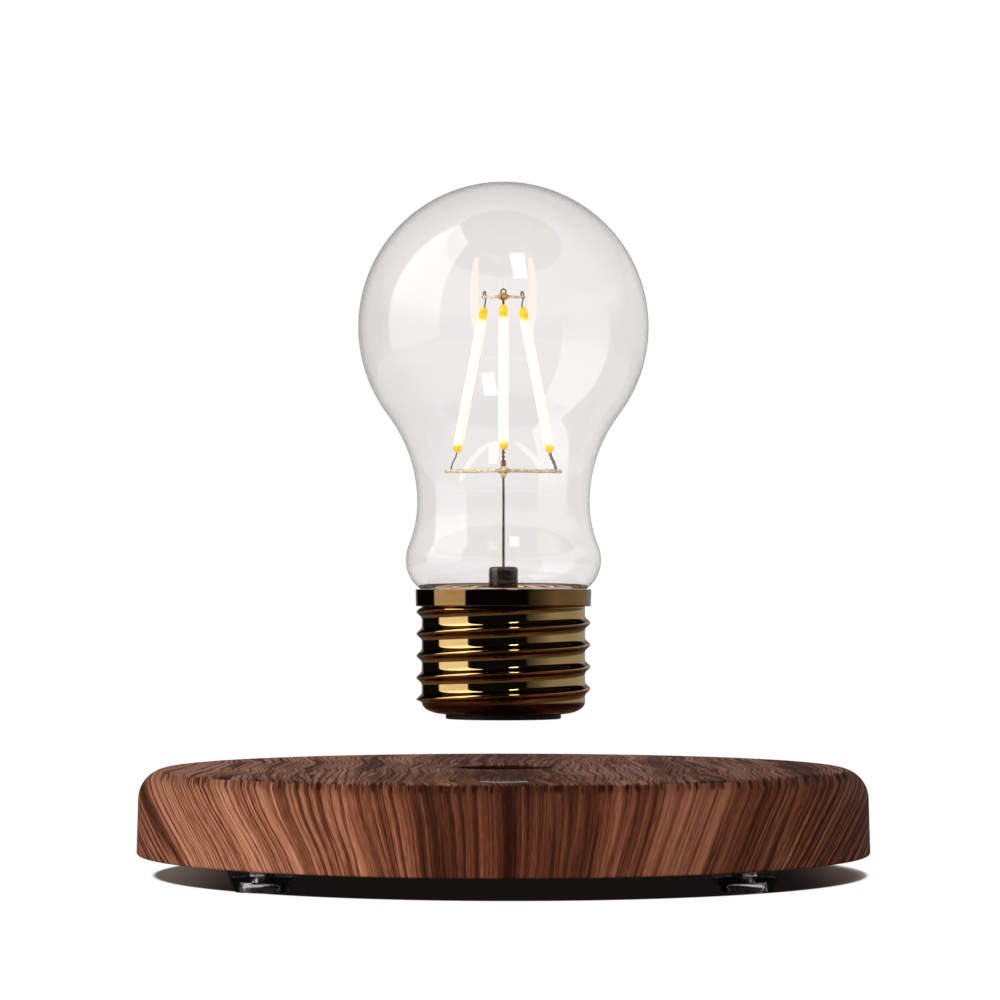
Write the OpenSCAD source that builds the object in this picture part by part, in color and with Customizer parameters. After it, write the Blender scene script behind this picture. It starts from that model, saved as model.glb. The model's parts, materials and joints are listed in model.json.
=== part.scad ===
// Levitating bulb lamp: a low round base with magnets, coils and a board, and a bulb that floats over it.
// Millimetres, +Z up, floor at z = 0, touch pad towards -Y, power inlet towards +Y.

/* [Base shell] */
// Diameter at the top of the side
base_d = 150; // [136:1:180]
// Height of the shell without its feet
base_h = 17.5; // [16:0.5:24]
// Radius of the rounded top edge
edge_r = 6.2; // [5:0.1:8]
// Radius that the side gains from top to bottom
side_draft = 0.3; // [0:0.05:1]
// Bevel along the bottom rim
rim_bevel = 0.5; // [0.2:0.1:1]
// Wall of the shell, on top and at the side
shell_wall = 2.4; // [2:0.1:3]
// Diameter of the dimple in the middle of the top
dimple_d = 20; // [14:0.5:28]
// Depth of the dimple
dimple_depth = 1.2; // [0.6:0.1:1.6]
// Thickness of the bottom cover
cover_t = 2; // [1.5:0.1:2.5]

/* [Feet] */
// Height of a clear foot
foot_h = 4.5; // [3.5:0.1:7]
// Diameter of a foot where it meets the base
foot_top_d = 13.8; // [12:0.1:16]
// Diameter of a foot on the floor
foot_bottom_d = 11; // [10:0.1:12]
// Distance from the edge of the base to a foot
foot_inset = 1.7; // [1:0.1:6]
// Shank diameter of a foot screw
screw_d = 2.8; // [2.4:0.1:3.2]
// Head diameter of a foot screw
screw_head_d = 7.6; // [6:0.1:8]
// Head height of a foot screw
screw_head_h = 1.7; // [1.2:0.1:2]
// How far a screw head stays above the floor
screw_head_lift = 0.6; // [0.3:0.1:1]
// Depth of thread in the shell's boss
screw_grip = 8; // [5:0.5:9]

/* [Touch pad] */
// Diameter of the flush pad
pad_d = 9.8; // [8:0.1:12]
// Thickness of the pad
pad_t = 0.8; // [0.5:0.1:1.2]
// Flat rim of the top outside the pad
pad_margin = 2; // [1:0.1:6]
// Diameter of the pad's post
pad_post_d = 2.8; // [2:0.1:4]

/* [Power inlet] */
// Width and height of the inlet's body
inlet_w = 10; // [9.5:0.1:10.5]
// Length of the inlet's body
inlet_l = 12; // [11:0.1:13]
// Diameter of its collar in the shell's wall
collar_d = 8; // [7.6:0.1:8.6]
// Bore that takes the plug
inlet_bore_d = 6.3; // [5.7:0.1:6.6]
// Depth of that bore
inlet_depth = 10.5; // [9:0.1:12]
// Diameter of the centre pin
inlet_pin_d = 2; // [1.6:0.1:2.5]
// How far the collar lies behind the side
collar_sink = 0.6; // [0.2:0.1:1]

/* [Lifting module] */
// Space between the cover and the board
standoff_h = 2; // [1.5:0.1:2.5]
// Thickness of the control board
board_t = 1.6; // [1.2:0.1:2]
// Outer diameter of the ring magnet
ring_magnet_d = 94; // [84:1:98]
// Bore of the ring magnet
ring_magnet_bore = 62; // [58:1:68]
// Flange diameter of a control coil
coil_d = 18; // [15:0.5:20]
// Diameter of a coil's steel core
core_d = 7; // [5:0.5:8]
// Outer diameter of the flat transmit coil
power_coil_d = 66; // [50:1:80]
// Thickness of the transmit coil
power_coil_t = 1; // [0.6:0.1:1.2]

/* [Bulb cap] */
// Air between the base and the cap
hover_gap = 10; // [6:0.5:16]
// Diameter of the plain band at the top of the cap
band_d = 36.3; // [35.5:0.1:38]
// Height of that band
band_h = 3.5; // [3:0.1:5]
// Diameter over the thread's crests
crest_d = 35.9; // [35:0.1:36.3]
// Diameter in the thread's valleys
root_d = 33.7; // [33.4:0.1:34.5]
// Rise of the thread in one turn
thread_pitch = 4.52; // [3.6:0.02:6]
// Height of the threaded zone
thread_h = 19.8; // [17.5:0.1:24]
// Height of the domed shoulder
dome_h = 2.4; // [2:0.1:4]
// Diameter where the shoulder starts
shoulder_d = 24.2; // [22:0.1:26]
// Wall of the cap
cap_wall = 1.05; // [0.9:0.05:1.2]
// Thickness of the black disc under the cap
cap_disc_t = 1; // [0.6:0.1:1.6]

/* [Float magnet] */
// Diameter of the magnet in the cap
float_magnet_d = 26; // [22:0.5:26.5]
// Thickness of that magnet
float_magnet_t = 7.8; // [5:0.1:8.5]

/* [Glass] */
// Diameter of the globe
globe_d = 60; // [54:1:70]
// Centre of the globe above the cap
globe_rise = 54.2; // [50:0.1:60]
// Least diameter of the neck
neck_d = 35.6; // [34.5:0.1:37]
// Height of the neck above the cap
neck_rise = 17.9; // [16.6:0.1:20.6]
// Diameter of the lower bulge
bulge_d = 40.3; // [39:0.1:42]
// Height of the bulge above the cap
bulge_rise = 6; // [5.8:0.1:6.6]
// Arc over the bulge
bulge_arc = 8.3; // [7:0.1:9]
// Arc under the bulge, down to the cap
heel_arc = 7; // [6.2:0.1:7.4]
// Wall of the glass
glass_wall = 0.9; // [0.6:0.05:1.1]

/* [Filaments] */
// Diameter of a filament
filament_d = 1.8; // [1.2:0.1:2.4]
// Diameter of the beads at a filament's ends
end_bead_d = 2; // [1.4:0.1:2.8]
// Length of those beads
end_bead_l = 3; // [2:0.1:4]
// Height of the filaments' lower ends above the cap
filament_low = 28.5; // [27.1:0.1:30.6]
// Height of the filaments' upper ends above the cap
filament_high = 58.5; // [50.6:0.1:59.1]
// Distance of the lower ends from the axis
filament_spread = 11.3; // [9:0.1:12]
// Distance of the upper ends from the axis
filament_close = 4.55; // [3.5:0.05:5]
// Height of the lower spider above the cap
low_spider_rise = 24.3; // [20.6:0.1:25.6]
// Reach of the lower spider's arms
low_spider_reach = 14.4; // [13:0.1:14.8]
// Height of the upper spider above the cap
high_spider_rise = 60.25; // [59.8:0.05:64.6]
// Reach of the upper spider's arms
high_spider_reach = 5.25; // [5:0.05:7]
// Thickness of the spiders
spider_t = 0.6; // [0.4:0.05:0.8]
// Diameter of the leads
lead_d = 0.5; // [0.4:0.05:0.7]
// Diameter of the ferrule
ferrule_d = 6.1; // [5:0.1:8]
// Height of the ferrule
ferrule_h = 4.6; // [3:0.1:6]

/* [Clearances] */
// Between pieces that are fixed to each other
fit = 0.15; // [0.1:0.01:0.2]
// Between the float magnet and what turns around it
spin_gap = 0.3; // [0.2:0.05:0.4]
// Air above the module
stack_gap = 0.3; // [0.2:0.05:0.5]

/* [Hidden] */
$fn = 96;

base_r = base_d / 2;
flat_r = base_r - edge_r;
base_top = foot_h + base_h;
ceiling = base_top - shell_wall;
cavity_r = base_r - shell_wall;
cover_top = foot_h + cover_t;
board_z = cover_top + standoff_h;
board_top = board_z + board_t;

dimple_boss_r = dimple_d / 2 + shell_wall;
dimple_boss_z = ceiling - dimple_depth;
module_top = min(ceiling - power_coil_t, dimple_boss_z) - stack_gap;

foot_circle = base_r - foot_inset - foot_top_d / 2;
screw_boss_r = screw_d / 2 + 2.1;
screw_seat = screw_head_lift + screw_head_h;
board_rim = 10.9;
board_r = ring_magnet_d / 2 + board_rim;
board_screw_circle = ring_magnet_d / 2 + board_rim / 2;
board_screw_d = 2.4;
board_screw_head_d = 4.4;
board_screw_head_h = 1.4;
capacitor_d = 6;
capacitor_turns = [-9, 9, 171, 189];

pad_y = -(flat_r - pad_margin - pad_d / 2);
pad_post_low = ceiling - 1;

inlet_front = flat_r;
inlet_back = inlet_front - inlet_l;
inlet_z = cover_top + inlet_w / 2;
collar_front = base_r - collar_sink;
bore_back = collar_front - inlet_depth;
pin_root = 2;
pin_root_d = inlet_pin_d + 1.2;
pin_sink = 1.2;
lead_wire_d = 1.2;
lead_reach = 3;
lead_rise = 3;

coil_circle = ring_magnet_bore / 2 - coil_d / 2 - 3;
bobbin_wall = 0.7;
flange_t = 0.8;
chip_w = 5;
chip_h = 1.4;
chip_place = (ring_magnet_bore / 2 - 0.6) / sqrt(2) - chip_w / 2;
sensor_size = [3, 2, 1.2];
sensor_step = 4.6;

disc_z = base_top + hover_gap;
cap_z = disc_z + cap_disc_t;
thread_z = cap_z + dome_h;
band_z = thread_z + thread_h;
cap_top = band_z + band_h;
cap_in_r = root_d / 2 - cap_wall;
mouth_r = shoulder_d / 2 - cap_wall;
dome_in_h = dome_h + cap_wall;
seat_z = band_z + cap_wall;

cup_z = cap_z + dome_in_h;
cup_r = cap_in_r - fit;
cup_floor = 1;
cup_bore_r = float_magnet_d / 2 + spin_gap;
float_z = cup_z + cup_floor + spin_gap;
cup_top = float_z + float_magnet_t + spin_gap;
cup_skin = 0.8;
groove_r = cup_bore_r + cup_skin;
cup_flange = 1.2;
receiver_board_t = 1.2;
receiver_top = cup_top + receiver_board_t;

globe_z = cap_top + globe_rise;
neck_z = cap_top + neck_rise;
bulge_z = cap_top + bulge_rise;
globe_r = globe_d / 2;
neck_r = neck_d / 2;
bulge_r = bulge_d / 2;
// The glass stands inside the band, at the foot of the arc under the bulge.
skirt_r = band_d / 2 - 0.85 - fit;
plate_r = skirt_r - glass_wall - fit;
plate_t = 1.5;
lead_offset = 0.9;
hub_r = 2.2;
bead_d = 3.8;
bead_h = 1.8;
arm_w = 1;
tab_d = 0.4;
filament_turns = [-90, 30, 150];

// Concave arc above the neck, tangent to the globe, and the one below it, tangent to the bulge.
function arc_over(from_r, to_r, dz) = (from_r * from_r + dz * dz - to_r * to_r) / (2 * (to_r - from_r));
over_neck = arc_over(neck_r, globe_r, globe_rise - neck_rise);
bulge_x = bulge_r - bulge_arc;
under_neck = arc_over(neck_r - bulge_x, bulge_arc, neck_rise - bulge_rise);
heel_x = bulge_r - heel_arc;

function polar(r, turn, z) = [r * cos(turn), r * sin(turn), z];
function unit(v) = v / norm(v);
function flat(list) = [for (part = list) each part];
function ramp(x) = min(1, max(0, x));

module at_feet() {
    for (turn = [45:90:315])
        rotate(turn) translate([foot_circle, 0, 0]) children();
}

module at_board_screws() {
    for (turn = [45:90:315])
        rotate(turn) translate([board_screw_circle, 0, 0]) children();
}

module at_coils() {
    for (turn = [0:90:270])
        rotate(turn) translate([coil_circle, 0, 0]) children();
}

module tube(outer_r, inner_r, low, high) {
    translate([0, 0, low])
        difference() {
            cylinder(r = outer_r, h = high - low);
            translate([0, 0, -1]) cylinder(r = inner_r, h = high - low + 2);
        }
}

// Round bar from one point to another.
module rod(a, b, d) {
    v = b - a;
    translate(a)
        rotate([0, acos(v[2] / norm(v)), atan2(v[1], v[0])])
            cylinder(d = d, h = norm(v), $fn = 32);
}

// Bent wire of eight sides through points in one plane, whose normal is side.
module wire(points, side, d) {
    last = len(points) - 1;
    rings = [for (i = [0:last])
        let (after = unit(points[min(i + 1, last)] - points[min(i, last - 1)]),
             before = unit(points[max(i, 1)] - points[max(i - 1, 0)]),
             along = unit(before + after),
             across = cross(along, side) / (before * along))
        [for (turn = [0:45:315]) points[i] + d / 2 * (cos(turn) * side + sin(turn) * across)]];
    walls = [for (i = [0:last - 1], c = [0:7])
        let (near = i * 8 + c, far = i * 8 + (c + 1) % 8)
        each [[near, near + 8, far + 8], [near, far + 8, far]]];
    ends = [[for (c = [0:7]) c], [for (c = [7:-1:0]) last * 8 + c]];
    polyhedron(points = flat(rings), faces = concat(walls, ends));
}

// Quarter of a disc, up and to the right of its centre.
module quarter(r) {
    intersection() {
        circle(r = r);
        square(r + 1);
    }
}

// Half section of a round lid with a rounded top edge.
module lid_section(low_r, r, corner_r, low, high, bevel) {
    shoulder = high - corner_r;
    polygon([[0, low], [low_r - bevel, low], [low_r, low + bevel], [r, shoulder], [0, shoulder]]);
    translate([0, shoulder]) square([r - corner_r, corner_r]);
    translate([r - corner_r, shoulder]) quarter(corner_r);
}

module base_shell() {
    color("sienna")
        difference() {
            union() {
                rotate_extrude()
                    difference() {
                        lid_section(base_r + side_draft, base_r, edge_r, foot_h, base_top, rim_bevel);
                        lid_section(cavity_r, cavity_r, edge_r - shell_wall, foot_h - 1, ceiling, 0);
                    }
                translate([0, 0, dimple_boss_z])
                    cylinder(r = dimple_boss_r, h = dimple_depth + shell_wall / 2);
                at_feet()
                    translate([0, 0, cover_top])
                        cylinder(r = screw_boss_r, h = ceiling + shell_wall / 2 - cover_top);
            }
            translate([0, 0, base_top - dimple_depth]) cylinder(d = dimple_d, h = dimple_depth + 1);
            at_feet()
                translate([0, 0, cover_top - 1]) cylinder(d = screw_d + 2 * fit, h = screw_grip + 2);
            translate([0, pad_y, base_top - pad_t]) cylinder(d = pad_d + 2 * fit, h = pad_t + 1);
            translate([0, pad_y, ceiling - 1]) cylinder(d = pad_post_d + 2 * fit, h = shell_wall + 2);
            translate([0, inlet_front, inlet_z])
                rotate([-90, 0, 0]) cylinder(d = collar_d + 2 * fit, h = edge_r + side_draft + 2);
        }
}

module bottom_cover() {
    color("dimgray")
        difference() {
            union() {
                translate([0, 0, foot_h]) cylinder(r = cavity_r - fit, h = cover_t);
                at_board_screws()
                    translate([0, 0, foot_h]) cylinder(r = board_screw_d / 2 + 1.6, h = board_z - foot_h);
            }
            at_feet()
                translate([0, 0, foot_h - 1]) cylinder(d = screw_d + 4 * fit, h = cover_t + 2);
            at_board_screws()
                translate([0, 0, foot_h + 0.8]) cylinder(d = board_screw_d + 2 * fit, h = board_z);
        }
}

module foot(turn) {
    color("whitesmoke")
        rotate(turn) translate([foot_circle, 0, 0])
            difference() {
                cylinder(d1 = foot_bottom_d, d2 = foot_top_d, h = foot_h);
                translate([0, 0, -1]) cylinder(d = screw_d + 4 * fit, h = foot_h + 2);
                translate([0, 0, -1]) cylinder(d = screw_head_d + 4 * fit, h = screw_seat + 1);
            }
}

module foot_screws() {
    color("silver")
        at_feet() {
            translate([0, 0, screw_head_lift]) cylinder(d = screw_head_d, h = screw_head_h);
            translate([0, 0, screw_head_lift])
                cylinder(d = screw_d, h = cover_top + screw_grip - screw_head_lift);
        }
}

module touch_pad() {
    color("gainsboro")
        translate([0, pad_y, 0]) {
            translate([0, 0, base_top - pad_t]) cylinder(d = pad_d, h = pad_t);
            translate([0, 0, pad_post_low]) cylinder(d = pad_post_d, h = base_top - pad_t / 2 - pad_post_low);
        }
}

module touch_contact() {
    color("goldenrod")
        translate([0, pad_y, board_top]) cylinder(d = pad_post_d + 0.8, h = pad_post_low - board_top);
}

module control_board() {
    ear_w = pad_post_d + 6;
    tongue_w = inlet_w + 2 * (lead_reach + 2);
    tongue_end = inlet_back + 3 * lead_wire_d;
    color("darkgreen")
        translate([0, 0, board_z])
            linear_extrude(board_t)
                difference() {
                    union() {
                        circle(r = board_r);
                        translate([-ear_w / 2, pad_y - ear_w / 2]) square([ear_w, -pad_y]);
                        translate([-tongue_w / 2, 0]) square([tongue_w, tongue_end]);
                    }
                    translate([-inlet_w / 2 - fit, inlet_back - fit]) square([inlet_w + 2 * fit, base_r]);
                    at_board_screws() circle(d = board_screw_d + 2 * fit);
                    at_feet() circle(r = screw_boss_r + 2 * fit);
                }
}

module board_screws() {
    color("silver")
        at_board_screws() {
            translate([0, 0, board_top]) cylinder(d = board_screw_head_d, h = board_screw_head_h);
            translate([0, 0, foot_h + 1]) cylinder(d = board_screw_d, h = board_top + 0.5 - foot_h - 1);
        }
}

module board_chips() {
    color("black")
        for (x = [-1, 1], y = [-1, 1])
            translate([x * chip_place - chip_w / 2, y * chip_place - chip_w / 2, board_top])
                cube([chip_w, chip_w, chip_h]);
}

module capacitors() {
    color("slategray")
        for (turn = capacitor_turns)
            rotate(turn) translate([board_screw_circle, 0, board_top])
                cylinder(d = capacitor_d, h = module_top - board_top - 1);
}

module hall_sensors() {
    color("black")
        for (place = [[0, 0], [sensor_step, 0], [0, sensor_step]])
            translate([place[0] - sensor_size[0] / 2, place[1] - sensor_size[1] / 2, board_top])
                cube(sensor_size);
}

module ring_magnet() {
    color("darkslategray")
        tube(ring_magnet_d / 2, ring_magnet_bore / 2, board_top, module_top);
}

module coil_bobbins() {
    bore_r = core_d / 2 + fit;
    color("ivory")
        at_coils() {
            tube(bore_r + bobbin_wall, bore_r, board_top, module_top);
            tube(coil_d / 2, bore_r, board_top, board_top + flange_t);
            tube(coil_d / 2, bore_r, module_top - flange_t, module_top);
        }
}

module coil_windings() {
    core_r = core_d / 2 + 2 * fit + bobbin_wall;
    color("peru")
        at_coils()
            tube(coil_d / 2 - 0.5, core_r, board_top + flange_t, module_top - flange_t);
}

module coil_cores() {
    color("gray")
        at_coils()
            translate([0, 0, board_top]) cylinder(d = core_d, h = module_top - board_top);
}

module power_coil() {
    color("peru")
        tube(power_coil_d / 2, dimple_boss_r + 0.8, ceiling - power_coil_t, ceiling);
}

module dc_inlet() {
    color("black")
        difference() {
            union() {
                translate([-inlet_w / 2, inlet_back, cover_top]) cube([inlet_w, inlet_l, inlet_w]);
                translate([0, inlet_front - 1, inlet_z])
                    rotate([-90, 0, 0]) cylinder(d = collar_d, h = collar_front - inlet_front + 1);
            }
            translate([0, bore_back, inlet_z])
                rotate([-90, 0, 0]) cylinder(d = inlet_bore_d, h = inlet_depth + 1);
            translate([0, bore_back - pin_root, inlet_z])
                rotate([-90, 0, 0]) cylinder(d = pin_root_d + 2 * fit, h = pin_root + 1);
        }
}

module dc_pin() {
    color("goldenrod")
        translate([0, bore_back, inlet_z])
            rotate([-90, 0, 0]) {
                cylinder(d = inlet_pin_d, h = inlet_depth - pin_sink);
                translate([0, 0, -pin_root]) cylinder(d = pin_root_d, h = pin_root);
            }
}

module inlet_leads() {
    y = inlet_back + lead_wire_d;
    z = board_top + lead_rise;
    color("firebrick")
        for (side = [-1, 1]) {
            near = side * inlet_w / 2;
            far = near + side * lead_reach;
            wire([[near, y, z], [far, y, z], [far, y, board_top]], [0, 1, 0], lead_wire_d);
        }
}

module float_magnet() {
    color("lightsteelblue")
        translate([0, 0, float_z]) cylinder(d = float_magnet_d, h = float_magnet_t);
}

module magnet_cup() {
    color("ivory") {
        translate([0, 0, cup_z]) cylinder(r = cup_r, h = cup_floor);
        tube(groove_r, cup_bore_r, cup_z + cup_floor / 2, cup_top);
        tube(cup_r, cup_bore_r, cup_z + cup_floor / 2, cup_z + cup_flange);
        tube(cup_r, cup_bore_r, cup_top - cup_flange, cup_top);
    }
}

module receiver_coil() {
    color("peru")
        tube(cup_r - 0.3, groove_r + fit / 2, cup_z + cup_flange, cup_top - cup_flange);
}

module receiver_board() {
    color("darkgreen")
        translate([0, 0, cup_top]) cylinder(r = cup_r - fit, h = receiver_board_t);
}

module receiver_chips() {
    color("black")
        for (turn = [0, 120, 240])
            rotate(turn) translate([cup_r / 2, -1.5, receiver_top]) cube([4, 3, 1.2]);
}

module cap_base() {
    color("black") {
        translate([0, 0, disc_z]) cylinder(d = shoulder_d - 0.4, h = cap_disc_t);
        translate([0, 0, disc_z]) cylinder(r = mouth_r - fit, h = cup_z - disc_z);
    }
}

// Cap as one skin of rings: domed shoulder, rolled right-hand thread and plain band outside,
// a seat for the glass and a straight bore inside.
columns = 40;
rows_per_turn = 10;
// Turn at which a crest leaves the shoulder, and how narrow the crests are.
thread_start = 136;
crest_power = 3;
// Shares of a turn over which the crests rise from the shoulder and run into the band.
run_in = 0.1;
run_out = 0.12;
thread_rows = ceil(thread_h / thread_pitch * rows_per_turn);

function thread_form(z, turn) =
    pow(0.5 + 0.5 * cos(360 * (z - thread_z) / thread_pitch - turn + thread_start), crest_power);
function thread_fade(z) =
    ramp((z - thread_z) / thread_pitch / run_in) * ramp((band_z - z) / thread_pitch / run_out);
function thread_r(z, turn) = (root_d + (crest_d - root_d) * thread_form(z, turn) * thread_fade(z)) / 2;
function ring(r, z) = [for (c = [0:columns - 1]) polar(r, 360 * c / columns, z)];
function thread_ring(z) =
    [for (c = [0:columns - 1]) let (turn = 360 * c / columns) polar(thread_r(z, turn), turn, z)];
function dome_ring(low_r, high_r, h, s) = ring(low_r + (high_r - low_r) * sin(s), cap_z + h * (1 - cos(s)));

module screw_cap() {
    edge = 0.3;
    bore_r = skirt_r + fit;
    rings = concat(
        [for (s = [0:15:75]) dome_ring(shoulder_d / 2, root_d / 2, dome_h, s)],
        [for (i = [0:thread_rows]) thread_ring(thread_z + thread_h * i / thread_rows)],
        [ring(band_d / 2 - edge, band_z + edge / 2), ring(band_d / 2, band_z + 2 * edge)],
        [ring(band_d / 2, cap_top - edge), ring(band_d / 2 - edge, cap_top)],
        [ring(bore_r, cap_top), ring(bore_r, seat_z), ring(cap_in_r, seat_z)],
        [for (s = [90:-22.5:0]) dome_ring(mouth_r, cap_in_r, dome_in_h, s)]);
    count = len(rings);
    faces = [for (i = [0:count - 1], c = [0:columns - 1])
        let (next = (i + 1) % count, side = (c + 1) % columns)
        each [[i * columns + c, next * columns + c, next * columns + side],
              [i * columns + c, next * columns + side, i * columns + side]]];
    color("darkgoldenrod") polyhedron(points = flat(rings), faces = faces);
}

// Points along an arc, after its first one.
function arc(centre, r, from, to) =
    let (steps = ceil(abs(to - from) / 3))
    [for (i = [1:steps]) let (turn = from + (to - from) * i / steps) centre + r * [cos(turn), sin(turn)]];

// Half outline of the bulb from its tip down to the seat, drawn in by the glass wall for the inside:
// globe, arcs above and below the neck, bulge and heel, each tangent to the next.
function bulb_outline(inset) =
    let (globe_end = atan2(neck_z - globe_z, neck_r + over_neck),
         bulge_start = atan2(neck_z - bulge_z, neck_r + under_neck - bulge_x),
         heel_end = -acos((skirt_r - inset - heel_x) / (heel_arc - inset)))
    concat(
        [[0, globe_z + globe_r - inset]],
        arc([0, globe_z], globe_r - inset, 90, globe_end),
        arc([neck_r + over_neck, neck_z], over_neck + inset, 180 + globe_end, 180),
        arc([neck_r + under_neck, neck_z], under_neck + inset, 180, 180 + bulge_start),
        arc([bulge_x, bulge_z], bulge_arc - inset, bulge_start, 0),
        arc([heel_x, bulge_z], heel_arc - inset, 0, heel_end),
        [[skirt_r - inset, seat_z]]);

function reversed(list) = [for (i = [len(list) - 1:-1:0]) list[i]];

module glass_envelope() {
    color("lightcyan", 0.4)
        rotate_extrude() polygon(concat(bulb_outline(0), reversed(bulb_outline(glass_wall))));
}

module lead_holes(low, high) {
    for (y = [-lead_offset, lead_offset])
        translate([0, y, low]) cylinder(d = lead_d + 2 * fit, h = high - low, $fn = 32);
}

module stem_plate() {
    color("saddlebrown")
        difference() {
            translate([0, 0, seat_z]) cylinder(r = plate_r, h = cap_top - seat_z);
            translate([0, 0, seat_z - 1]) cylinder(r = plate_r - 1.2, h = cap_top - seat_z + 1 - plate_t);
            lead_holes(seat_z, cap_top + 1);
        }
}

module ferrule() {
    edge = 0.7;
    color("black")
        difference() {
            rotate_extrude()
                lid_section(ferrule_d / 2, ferrule_d / 2, edge, cap_top, cap_top + ferrule_h, 0);
            lead_holes(cap_top - 1, cap_top + ferrule_h + 1);
        }
}

module low_lead() {
    color("sienna")
        rod([0, -lead_offset, receiver_top], [0, -lead_offset, cap_top + low_spider_rise], lead_d);
}

module high_lead() {
    color("sienna")
        rod([0, lead_offset, receiver_top], [0, lead_offset, cap_top + high_spider_rise], lead_d);
}

module spider(z, reach, hub) {
    translate([0, 0, z]) {
        cylinder(r = hub, h = spider_t);
        for (turn = filament_turns)
            rotate(turn) translate([0, -arm_w / 2, 0]) cube([reach, arm_w, spider_t]);
    }
}

module low_spider() {
    z = cap_top + low_spider_rise;
    color("gold")
        difference() {
            spider(z, low_spider_reach, hub_r);
            translate([0, lead_offset, z - 1]) cylinder(d = lead_d + 4 * fit, h = spider_t + 2, $fn = 32);
        }
}

module high_spider() {
    color("gold") spider(cap_top + high_spider_rise, high_spider_reach, hub_r * 0.75);
}

module hub_bead() {
    low = cap_top + low_spider_rise + spider_t;
    color("goldenrod")
        difference() {
            translate([0, 0, low]) cylinder(d = bead_d, h = bead_h);
            translate([0, lead_offset, low - 1]) cylinder(d = lead_d + 2 * fit, h = bead_h + 2, $fn = 32);
        }
}

function filament_bottom(turn) = polar(filament_spread, turn, cap_top + filament_low);
function filament_top(turn) = polar(filament_close, turn, cap_top + filament_high);

// Half outline of a filament along its axis: a round bar that ends in two beads, each flat where its
// wire starts.
tip_turn = asin(tab_d / end_bead_d);
body_turn = asin(min(1, filament_d / end_bead_d));
function bead_point(turn) =
    [end_bead_d / 2 * sin(turn), end_bead_l / 2 * (1 - cos(turn) / cos(tip_turn))];
function bead_points(from, to) = [for (i = [0:8]) bead_point(from + (to - from) * i / 8)];
function raised(list, rise) = [for (point = list) point + [0, rise]];

module filament(turn) {
    low = filament_bottom(turn);
    v = filament_top(turn) - low;
    outline = concat(
        [[0, 0]],
        bead_points(tip_turn, 180 - body_turn),
        raised(bead_points(body_turn, 180 - tip_turn), norm(v) - end_bead_l),
        [[0, norm(v)]]);
    color("khaki")
        translate(low)
            rotate([0, acos(v[2] / norm(v)), atan2(v[1], v[0])])
                rotate_extrude($fn = 48) polygon(outline);
}

module filament_tabs() {
    arm_top = cap_top + low_spider_rise + spider_t;
    arm_low = cap_top + high_spider_rise;
    tip = low_spider_reach - tab_d * 2;
    color("sienna")
        for (turn = filament_turns) {
            low = filament_bottom(turn);
            high = filament_top(turn);
            along = unit(high - low);
            bend = high + along * 0.6;
            low_bend = low - along * 0.8;
            side = polar(1, turn + 90, 0);
            wire([low, low_bend, polar(tip, turn, arm_top + 0.8), polar(tip, turn, arm_top)], side, tab_d);
            wire([high, bend, [bend[0], bend[1], arm_low]], side, tab_d);
        }
}

base_shell();
bottom_cover();
foot(225);  // foot_front_left
foot(315);  // foot_front_right
foot(135);  // foot_back_left
foot(45);  // foot_back_right
foot_screws();
touch_pad();
touch_contact();
control_board();
board_screws();
board_chips();
capacitors();
hall_sensors();
ring_magnet();
coil_bobbins();
coil_windings();
coil_cores();
power_coil();
dc_inlet();
dc_pin();
inlet_leads();
float_magnet();
magnet_cup();
receiver_coil();
receiver_board();
receiver_chips();
cap_base();
screw_cap();
glass_envelope();
stem_plate();
ferrule();
low_lead();
high_lead();
hub_bead();
low_spider();
high_spider();
filament(filament_turns[0]);  // filament_front
filament(filament_turns[2]);  // filament_left
filament(filament_turns[1]);  // filament_right
filament_tabs();
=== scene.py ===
import json
import math

import bmesh
import bpy
from mathutils import Matrix, Vector


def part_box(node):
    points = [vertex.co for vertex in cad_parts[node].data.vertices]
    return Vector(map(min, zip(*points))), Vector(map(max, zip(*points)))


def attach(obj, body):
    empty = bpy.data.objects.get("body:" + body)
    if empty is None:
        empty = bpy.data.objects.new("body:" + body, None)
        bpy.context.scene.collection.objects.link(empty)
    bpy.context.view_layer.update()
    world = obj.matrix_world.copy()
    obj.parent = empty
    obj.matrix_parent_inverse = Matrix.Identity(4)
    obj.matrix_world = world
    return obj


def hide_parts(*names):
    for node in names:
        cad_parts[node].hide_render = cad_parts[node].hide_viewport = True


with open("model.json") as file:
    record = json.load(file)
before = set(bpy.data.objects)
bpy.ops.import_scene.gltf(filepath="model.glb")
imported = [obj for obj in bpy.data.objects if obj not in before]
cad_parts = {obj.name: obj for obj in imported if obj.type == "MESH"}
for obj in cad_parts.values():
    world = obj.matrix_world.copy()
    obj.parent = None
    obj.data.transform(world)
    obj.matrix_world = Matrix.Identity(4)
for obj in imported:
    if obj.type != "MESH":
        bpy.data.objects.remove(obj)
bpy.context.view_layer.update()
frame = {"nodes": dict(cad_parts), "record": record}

mm = 0.001
scene = bpy.context.scene
scene.view_settings.view_transform = "Standard"


def addObject(name, data):
    made = bpy.data.objects.new(name, data)
    scene.collection.objects.link(made)
    return made


def toMesh(shape, name):
    mesh = bpy.data.meshes.new(name)
    shape.to_mesh(mesh)
    shape.free()
    return mesh


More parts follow.
